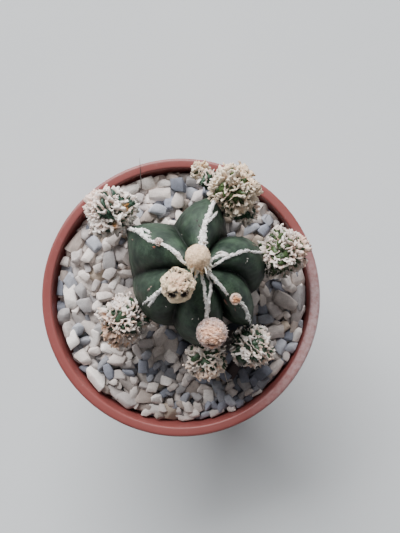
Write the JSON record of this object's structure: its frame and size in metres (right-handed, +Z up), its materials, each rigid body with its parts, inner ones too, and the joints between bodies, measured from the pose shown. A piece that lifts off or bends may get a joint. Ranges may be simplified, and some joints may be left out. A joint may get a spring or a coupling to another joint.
{
  "type": "potted bishop's cap cactus",
  "caption": "Ribbed bishop's cap cactus with white wool on its crests, woolly buds and knobbly offsets, in a gravel-topped round plastic pot.",
  "frame": {"origin": "middle of the pot's foot, on the surface that it stands on", "axes": "+Z up along the pot's axis; +Y is north, towards the top of the picture, and +X is east"},
  "size_m": [0.085, 0.085, 0.0986],
  "materials": {
    "pot_plastic": "smooth satin moulded plastic",
    "soil": null,
    "gravel": "dull crushed stone",
    "stem_green": null,
    "offset_flesh": "green tubercles edged with wool",
    "wool_white": "matted white plant wool",
    "wool_cream": "cream to pinkish felted plant wool"
  },
  "bodies": {
    "root": {"pot": "pot_plastic", "soil": "soil", "gravel": "gravel", "stem": "stem_green", "crest_wool": "wool_white", "bud_crown": "wool_cream", "bud_southwest": "wool_cream", "bud_south": "wool_cream", "bud_southeast": "wool_cream", "offset_west": "offset_flesh", "offset_north": "offset_flesh", "offset_east": "offset_flesh", "offset_southwest": "offset_flesh", "offset_south": "offset_flesh", "offset_southeast": "offset_flesh"}
  },
  "joints": []
}
